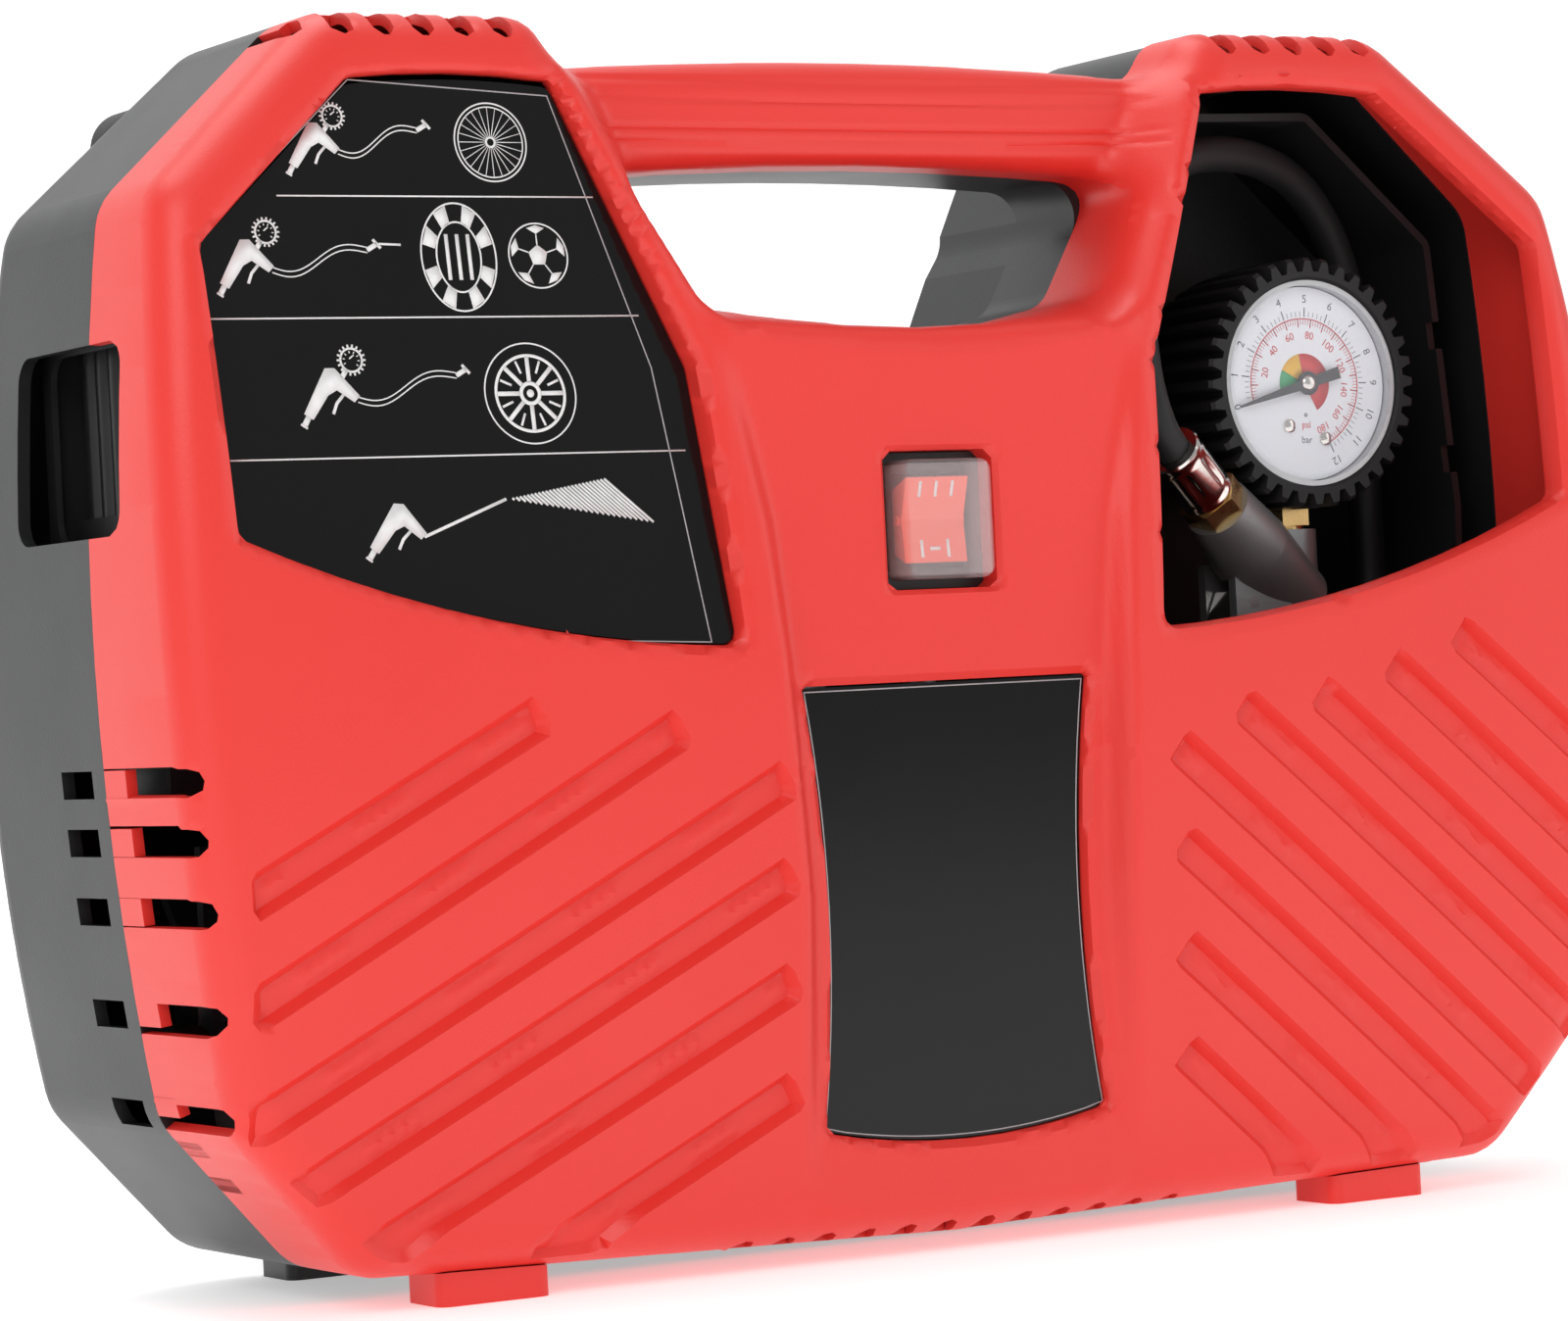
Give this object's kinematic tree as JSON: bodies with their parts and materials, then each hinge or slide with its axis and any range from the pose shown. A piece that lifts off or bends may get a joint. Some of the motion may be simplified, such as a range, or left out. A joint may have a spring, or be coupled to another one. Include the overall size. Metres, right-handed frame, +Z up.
{
  "type": "portable air compressor",
  "caption": "Carrying-case piston air compressor with a top handle, a mains rocker switch, side vents and an open compartment that holds a tyre inflator with a gauge and hose.",
  "frame": {"origin": "middle of the case's width and depth, at the level the feet stand on", "axes": "+X to the right as seen from the front, -Y out of the front, +Z up"},
  "size_m": [0.394, 0.1242, 0.29],
  "materials": {
    "red_plastic": "fine spark-eroded satin texture",
    "grey_plastic": "fine satin texture",
    "black_plastic": "satin",
    "gloss_black": "gloss, printed",
    "clear_cap": "clear soft vinyl",
    "lens": "clear polished",
    "rocker_red": "gloss, translucent",
    "rubber": "matte",
    "cast_alloy": "silver-grey paint, satin",
    "nickel": "polished nickel plate",
    "brass": "machined",
    "steel": "machined",
    "zinc_screws": "zinc plated",
    "dial_white": "printed, satin",
    "needle_black": "satin",
    "aluminium": "die cast",
    "laminations": "laminated",
    "copper_coils": "varnished enamel wire",
    "fan_plastic": "satin",
    "lead_sheath": "satin PVC",
    "capacitor_white": "satin"
  },
  "bodies": {
    "casing": {"front_shell": "red_plastic", "rear_shell": "grey_plastic", "case_screws": "zinc_screws", "front_feet": "red_plastic", "rear_feet": "grey_plastic", "pictogram_panel": "gloss_black", "centre_panel": "gloss_black", "rear_bumpers": "rubber", "switch_body": "black_plastic", "switch_cap": "clear_cap", "switch_terminals": "brass", "storage_tray": "black_plastic", "outlet_coupler": "brass", "gun_body": "cast_alloy", "trigger_pin": "steel", "gun_inlet": "brass", "gauge_stem": "brass", "gauge_boot": "rubber", "gauge_case": "steel", "gauge_dial": "dial_white", "gauge_lens": "lens", "hose_nut": "brass", "hose_ferrule": "nickel", "inflator_hose": "rubber", "tyre_chuck": "nickel", "lead_pocket": "black_plastic", "lead_gland": "rubber", "lead_hank": "lead_sheath", "mains_lead": "lead_sheath", "lead_tie": "black_plastic", "mains_plug": "lead_sheath", "stator_core": "laminations", "stator_windings": "copper_coils", "motor_frame": "aluminium", "motor_bearings": "steel", "crankcase": "aluminium", "cylinder": "aluminium", "valve_plate": "steel", "cylinder_head": "aluminium", "head_bolts": "zinc_screws", "intake_filter": "black_plastic", "delivery_pipe": "aluminium", "relief_valve": "brass", "motor_bracket": "steel", "rubber_mounts": "rubber", "run_capacitor": "capacitor_white", "capacitor_strap": "steel"},
    "rocker": {"switch_rocker": "rocker_red"},
    "needle": {"gauge_needle": "needle_black"},
    "trigger": {"gun_trigger": "nickel"},
    "chuck_lever": {"chuck_lever": "nickel"},
    "coupler_sleeve": {"coupler_sleeve": "nickel"},
    "rotor": {"rotor_core": "laminations", "motor_shaft": "steel", "cooling_fan": "fan_plastic", "crank_eccentric": "steel", "crank_bearing": "steel"},
    "piston": {"piston_rod": "aluminium", "piston_cup": "rubber"}
  },
  "joints": [
    {"name": "rocker_tilt", "type": "hinge", "parent": "casing", "child": "rocker", "pos_m": [0, -0.0485, 0.171], "axis": [1, 0, 0], "range_deg": [-12, 0]},
    {"name": "needle_turn", "type": "hinge", "parent": "casing", "child": "needle", "pos_m": [0.1296, -0.0236, 0.2034], "axis": [0, 1, 0], "range_deg": [0, 260]},
    {"name": "trigger_pull", "type": "hinge", "parent": "casing", "child": "trigger", "pos_m": [0.113, -0.011, 0.149], "axis": [0, -1, 0], "range_deg": [0, 11]},
    {"name": "chuck_lever_turn", "type": "hinge", "parent": "casing", "child": "chuck_lever", "pos_m": [0.172, 0.002, 0.124], "axis": [1, 0, 0], "range_deg": [-75, 0]},
    {"name": "sleeve_slide", "type": "slide", "parent": "casing", "child": "coupler_sleeve", "axis": [-1, 0, 0], "range_m": [0, 0.004]},
    {"name": "rotor_spin", "type": "hinge", "parent": "casing", "child": "rotor", "pos_m": [-0.1, 0.008, 0.066], "axis": [1, 0, 0], "continuous": true},
    {"name": "piston_slide", "type": "slide", "parent": "casing", "child": "piston", "axis": [0, 0, 1], "range_m": [-0.005, 0.005]}
  ]
}
